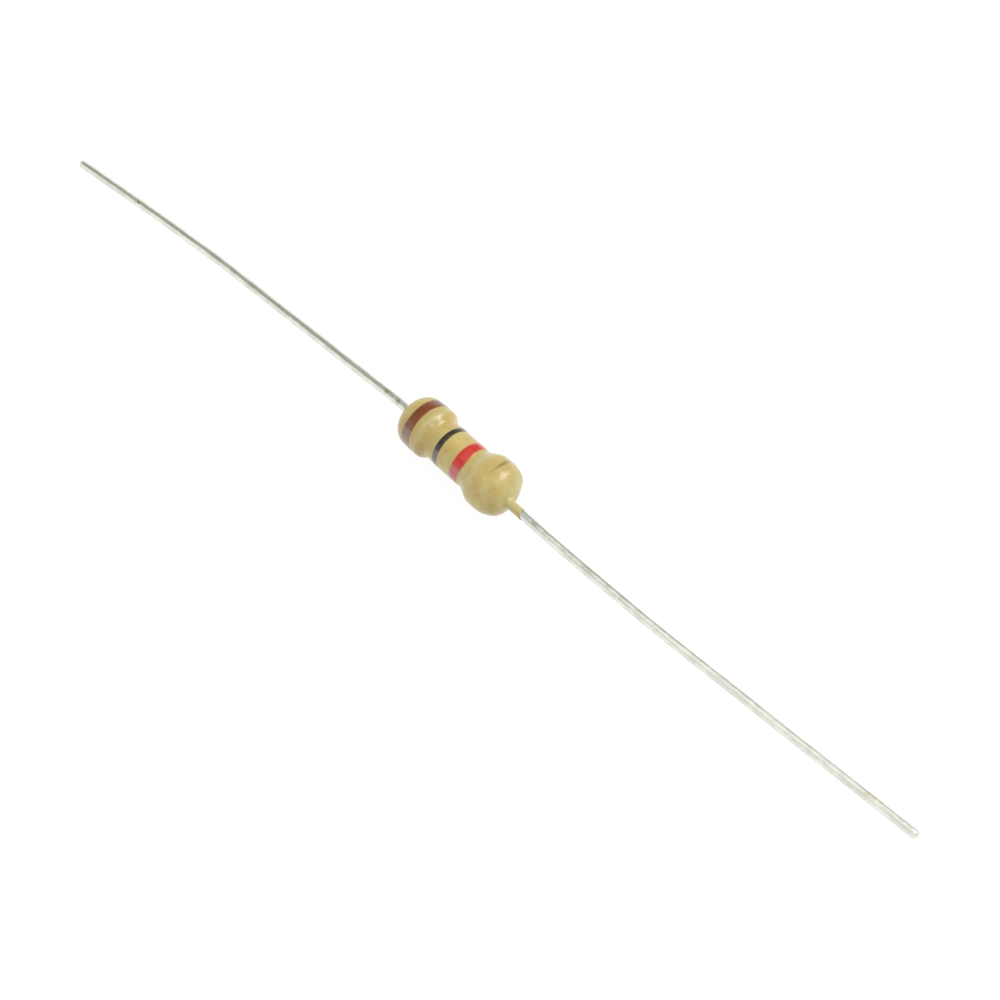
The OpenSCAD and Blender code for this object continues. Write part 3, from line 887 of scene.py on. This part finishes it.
# %% [markdown]
# ## Painted bands
#
# A band is a ring of paint, thinner than a hair. Its section is a flat loop: a top that swells up from both edges
# and an underside sunk into the lacquer. The loop is spun as the lacquer was. Two float layers keep each point's
# share of the band's width and its lift, so that afterwards both edges can wander as the printing wheel left
# them. The right edges of three bands bulge on one side too: red and black in front, gold on top. A layer named
# edge tells the paint's shader where the paint is thin.

# %% Describe a band
PAINT_LIFT, GOLD_LIFT = 0.012, 0.004
PAINT_SINK = 0.01
EDGE_SINK = 0.001  # the edges start this far under the lacquer, so that no gap opens
BAND_STEPS = 12
LIFT_POWER, THIN_POWER = 6, 8  # higher powers keep the drop and the thin paint closer to the edges
EDGE_WANDER = 0.014
WANDER_R = 1.6  # radius of the circle on which the wandering's noise is read


def wander(seed, angle):
    """A small wandering of a band's edge, which closes on itself round the body."""
    place = Vector((math.cos(angle) * WANDER_R, math.sin(angle) * WANDER_R, seed))
    return noise.noise(place) * EDGE_WANDER


def swell(angle, at, reach):
    """A bulge of an edge round an angle in degrees."""
    away = (math.degrees(angle) - at + 180) % 360 - 180
    return math.exp(-((away / reach) ** 2))


def band_edge(place, seed, shift=0.0, bulge=0.0, at=0, reach=1):
    """An edge as a function of the angle. It wanders, and may be shifted and bulge round an angle in degrees."""
    return lambda angle: place + shift + bulge * swell(angle, at, reach) + wander(seed, angle)


def edges_of(node):
    """Where a band of the frame starts and ends along the axis, in millimetres."""
    low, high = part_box(node)
    return low.x / MM, high.x / MM


brown, black, red, gold = (edges_of(f"band_{colour}") for colour in ("brown", "black", "red", "gold"))
print("bands in mm:", [[round(edge, 2) for edge in band] for band in (brown, black, red, gold)])


# %% Build the bands
def build_band(name, node, left_edge, right_edge, thick=PAINT_LIFT):
    """A ring of paint between two edges, each a function of the angle that gives a place along the axis."""
    top_r, under_r = 1.0, 0.9  # these only keep the two sides apart until every point is moved
    shares = [i / BAND_STEPS for i in range(BAND_STEPS + 1)]
    outline = [(share, top_r) for share in shares] + [(share, under_r) for share in reversed(shares)]
    tops = [thick * (1 - abs(2 * share - 1) ** LIFT_POWER) - EDGE_SINK for share in shares]
    bm = bmesh.new()
    share_layer = bm.verts.layers.float.new("share")
    lift_layer = bm.verts.layers.float.new("lift")
    edge_layer = bm.verts.layers.float.new("edge")
    across = shares + shares[::-1]
    lifts = tops + [-PAINT_SINK] * len(shares)
    edges = [abs(2 * share - 1) ** THIN_POWER for share in across]
    spin_loop(bm, outline, [(share_layer, across), (lift_layer, lifts), (edge_layer, edges)])
    for vert in bm.verts:
        angle = angle_of(vert)
        first, last = left_edge(angle), right_edge(angle)
        vert.co = surface_point(first + (last - first) * vert[share_layer], angle, vert[lift_layer])
    piece = finish_piece(bm, name, PAINTS[node.removeprefix("band_")])
    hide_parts(node)
    return piece


build_band("brown_ring", "band_brown", band_edge(brown[0], seed=1.3), band_edge(brown[1], seed=2.7))
build_band(
    "black_ring", "band_black",
    band_edge(black[0], seed=4.1, shift=-0.01),
    band_edge(black[1], seed=5.9, shift=0.02, bulge=0.04, at=155, reach=50),
)
build_band(
    "red_ring", "band_red",
    band_edge(red[0], seed=7.7),
    band_edge(red[1], seed=8.3, shift=-0.06, bulge=0.12, at=126, reach=42),
)
build_band(
    "gold_ring", "band_gold",
    band_edge(gold[0], seed=9.9),
    band_edge(gold[1], seed=11.2, bulge=0.02, at=75, reach=40),
    thick=GOLD_LIFT,
)

# %% [markdown]
# ## Leads
#
# A lead is a stiff wire that leaves the body straight, turns a little at the end of its lacquer sleeve and then
# bows gently down to the paper. A ring of points is extruded along that path step by step: each step turns the
# ring square to the wire and moves it on. At the body the ring starts as wide as the weld, and over the last sixth
# of a millimetre it shrinks into the cut, whose edge is rounded.

# %% Describe a lead's path
LEFT_LENGTH, RIGHT_LENGTH = 22.95, 21.9
LEFT_TURNS = ((0.6, 0.7, 3.2), (11.1, 6.5, 2.6))  # (start, reach, degrees) of the kink and of the bow
RIGHT_TURNS = ((1.95, 0.7, 2.3), (5.45, 5.4, 4.3))
RING_POINTS = 32
WIRE_STEP = 0.2
TIP_LENGTH = 0.16
TIP_SHARES = (0.0, 0.3, 0.55, 0.75, 0.9, 1.0)  # places of the rings along the tip
TIP_ROUND, TIP_POWER = 0.95, 2.3  # below 1 the rounding stops before the wire's axis and leaves a small flat
SWAY, SWAYS_PER_MM = 0.012, 0.35
SWAY_SEEDS = (3.1, 5.7)
SWAY_FREE = 2  # millimetres from each end before the wire sways in full


def direction_at(length, side, aside, turns):
    """Direction of a lead after a length. It leaves towards side, which is 1 or -1, and turns aside."""
    turn = sum(math.radians(angle) * min(1.0, max(0.0, (length - start) / reach)) for start, reach, angle in turns)
    return Vector((side, 0, 0)) * math.cos(turn) + aside * math.sin(turn)


def stations(start, side, aside, turns, whole):
    """Lengths, places and directions of the rings along a lead."""
    even = [i * WIRE_STEP for i in range(int((whole - TIP_LENGTH) / WIRE_STEP) + 1)]
    tip = [whole - TIP_LENGTH * (1 - share) for share in TIP_SHARES]
    place, last, made = Vector(start), 0.0, []
    for length in [0.0, WELD_HEIGHT] + even[1:] + tip:
        place = place + direction_at((length + last) / 2, side, aside, turns) * (length - last)
        made.append((length, place, direction_at(length, side, aside, turns)))
        last = length
    return made


def wire_radius(length, whole):
    """Radius of the wire: the weld at its foot, then the plain wire, then the rounded cut."""
    foot = (WELD_R - WIRE_R) * max(0.0, 1 - length / WELD_HEIGHT)
    past = max(0.0, (length - whole + TIP_LENGTH) / TIP_LENGTH)
    rounded = math.sqrt(max(0.0, 1 - (TIP_ROUND * past) ** TIP_POWER))
    return (WIRE_R + foot) * rounded


def ring_frame(place, direction, length, whole):
    """Matrix that sets a flat ring square to the wire, which sways a little except at its ends."""
    along = length * SWAYS_PER_MM
    sway = Vector((
        0,
        noise.noise(Vector((along, SWAY_SEEDS[0], 0))),
        noise.noise(Vector((along, 0, SWAY_SEEDS[1]))),
    ))
    settled = min(1.0, length / SWAY_FREE) * min(1.0, max(0.0, (whole - length) / SWAY_FREE))
    centre = (place + sway * SWAY * settled) * MM + Vector((0, 0, AXIS_Z))
    return Matrix.Translation(centre) @ direction.to_track_quat("Z", "Y").to_matrix().to_4x4()


for turns in (LEFT_TURNS, RIGHT_TURNS):
    print("degrees that a lead turns in all:", round(sum(angle for _, _, angle in turns), 1))


# %% Build the leads
def build_lead(name, node, start, side, turns, whole):
    """Extrudes a ring along a lead. Its bends lie in the plane that brings its end to the frame's place for it."""
    low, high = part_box(node)
    tip_y = (high.y if side > 0 else low.y) / MM - side * WIRE_R
    aside = Vector((0, tip_y - start.y, low.z / MM + WIRE_R - AXIS_Z / MM - start.z)).normalized()
    bm = bmesh.new()
    grain = bm.verts.layers.float_vector.new("grain")
    ring, previous = None, None
    for length, place, direction in stations(start, side, aside, turns, whole):
        radius = wire_radius(length, whole)
        placed = ring_frame(place, direction, length, whole) @ Matrix.Diagonal((radius * MM,) * 3 + (1,))
        if ring is None:
            made = bmesh.ops.create_circle(bm, cap_ends=True, radius=1, segments=RING_POINTS, matrix=placed)
            ring = made["verts"]
            rim = list({edge for vert in ring for edge in vert.link_edges})
        else:
            made = bmesh.ops.extrude_edge_only(bm, edges=rim)["geom"]
            ring = [item for item in made if isinstance(item, bmesh.types.BMVert)]
            edges = [item for item in made if isinstance(item, bmesh.types.BMEdge)]
            rim = [edge for edge in edges if all(vert in ring for vert in edge.verts)]
            bmesh.ops.transform(bm, matrix=placed @ previous.inverted(), verts=ring)
        for vert in ring:
            local = placed.inverted() @ vert.co
            vert[grain] = Vector((side * length, local.x * radius, local.y * radius))
        previous = placed
    bmesh.ops.edgeloop_fill(bm, edges=rim)
    piece = finish_piece(bm, name, TINNED_WIRE)
    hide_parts(node)
    reach = [round(side_of / MM, 2) for side_of in (*low, *high)]
    corners = [vert.co for vert in piece.data.vertices]
    mine = [round(pick(c[i] for c in corners) / MM, 2) for pick in (min, max) for i in range(3)]
    print(name, "is at", mine, "and the frame's wire at", reach)
    return piece


left_foot, right_foot = Vector((-CAP_END, 0, 0)), Vector((CAP_END, 0, 0)) + RIGHT_WIRE_OFF
build_lead("wire_left", "lead_left", left_foot, -1, LEFT_TURNS, LEFT_LENGTH)
build_lead("wire_right", "lead_right", right_foot, 1, RIGHT_TURNS, RIGHT_LENGTH)
